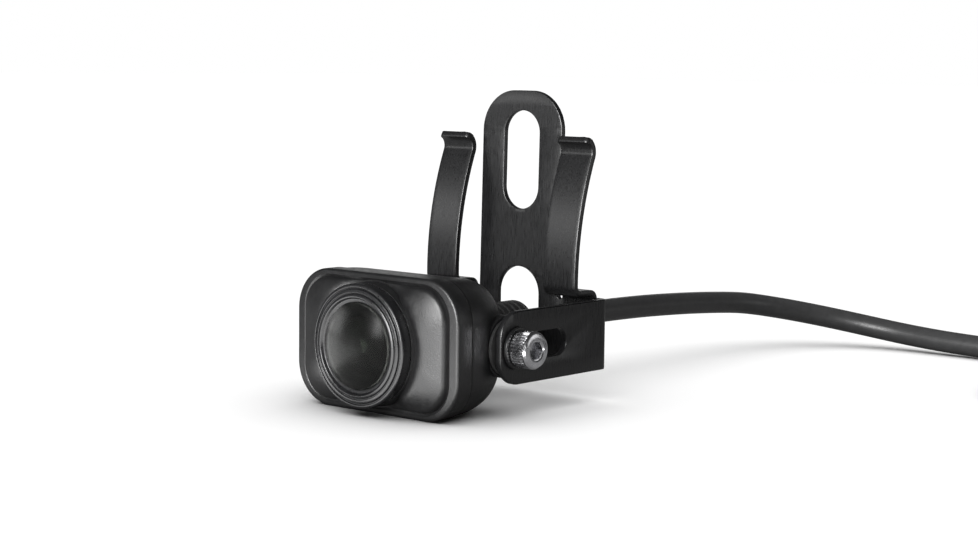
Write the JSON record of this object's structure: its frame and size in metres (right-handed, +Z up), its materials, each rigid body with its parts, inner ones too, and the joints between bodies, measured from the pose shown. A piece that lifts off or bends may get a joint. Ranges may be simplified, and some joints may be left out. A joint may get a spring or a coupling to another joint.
{
  "type": "backup camera",
  "caption": "Compact vehicle backup camera: a domed lens in a two-part housing, clamped by screws in a slotted steel clip bracket, with a ribbed strain relief and a coiled cable.",
  "frame": {"origin": "middle of the footprint of the camera and its bracket, on the surface the housing stands on", "axes": "+Z up; the lens looks towards -Y and the bracket's back plate faces +Y; +X to the right seen from the front of the lens towards the back"},
  "size_m": [0.2007, 0.1934, 0.0743],
  "materials": {
    "black_plastic": "satin black moulded plastic, fine grain",
    "gloss_plastic": "glossier black moulded plastic",
    "black_steel": "satin black coated sheet steel",
    "bright_steel": "bright plain steel",
    "brass": "plain brass",
    "rubber": "soft black rubber",
    "cable_rubber": "satin black cable jacket",
    "glass": "clear coated glass",
    "board": "green circuit board",
    "white_plastic": "off-white plastic",
    "sensor": "dark glossy chip package"
  },
  "bodies": {
    "camera": {"front_shell": "black_plastic", "rear_shell": "black_plastic", "lens_barrel": "black_plastic", "aperture_ring": "black_plastic", "lens_holder": "black_plastic", "plug_body": "black_plastic", "lens_ring": "gloss_plastic", "shield_can": "bright_steel", "housing_screw_1": "bright_steel", "housing_screw_2": "bright_steel", "housing_screw_3": "bright_steel", "housing_screw_4": "bright_steel", "thread_insert_left": "brass", "thread_insert_right": "brass", "board_spacer_1": "brass", "board_spacer_2": "brass", "board_spacer_3": "brass", "board_spacer_4": "brass", "housing_gasket": "rubber", "glass_seal": "rubber", "strain_relief": "rubber", "coil_tie": "rubber", "plug_seal": "rubber", "cable": "cable_rubber", "cable_coil": "cable_rubber", "cable_tail": "cable_rubber", "inner_lead": "cable_rubber", "front_glass": "glass", "front_lens_element": "glass", "rear_lens_element": "glass", "infrared_filter": "glass", "sensor_board": "board", "main_board": "board", "wire_connector": "white_plastic", "contact_insert": "white_plastic", "image_sensor": "sensor"},
    "friction_washers": {"friction_washer_left": "rubber", "friction_washer_right": "rubber"},
    "bracket": {"mounting_bracket": "black_steel"},
    "screw_left": {"pivot_screw_left": "bright_steel", "flat_washer_left": "black_steel"},
    "screw_right": {"pivot_screw_right": "bright_steel", "flat_washer_right": "black_steel"},
    "coupling_ring": {"coupling_ring": "black_plastic"}
  },
  "joints": [
    {"name": "bracket_tilt", "type": "hinge", "parent": "camera", "child": "friction_washers", "pos_m": [0, -0.00441, 0.0163], "axis": [-1, 0, 0], "range_deg": [0, 15]},
    {"name": "bracket_slide", "type": "slide", "parent": "friction_washers", "child": "bracket", "axis": [0, -1, 0], "range_m": [0, 0.015]},
    {"name": "screw_left_turn", "type": "hinge", "parent": "camera", "child": "screw_left", "pos_m": [0, -0.00441, 0.0163], "axis": [-1, 0, 0], "range_deg": [0, 720]},
    {"name": "screw_right_turn", "type": "hinge", "parent": "camera", "child": "screw_right", "pos_m": [0, -0.00441, 0.0163], "axis": [1, 0, 0], "range_deg": [0, 720]},
    {"name": "coupling_ring_turn", "type": "hinge", "parent": "camera", "child": "coupling_ring", "pos_m": [0.1596, 0.05659, 0.0075], "axis": [0, 1, 0], "continuous": true}
  ]
}
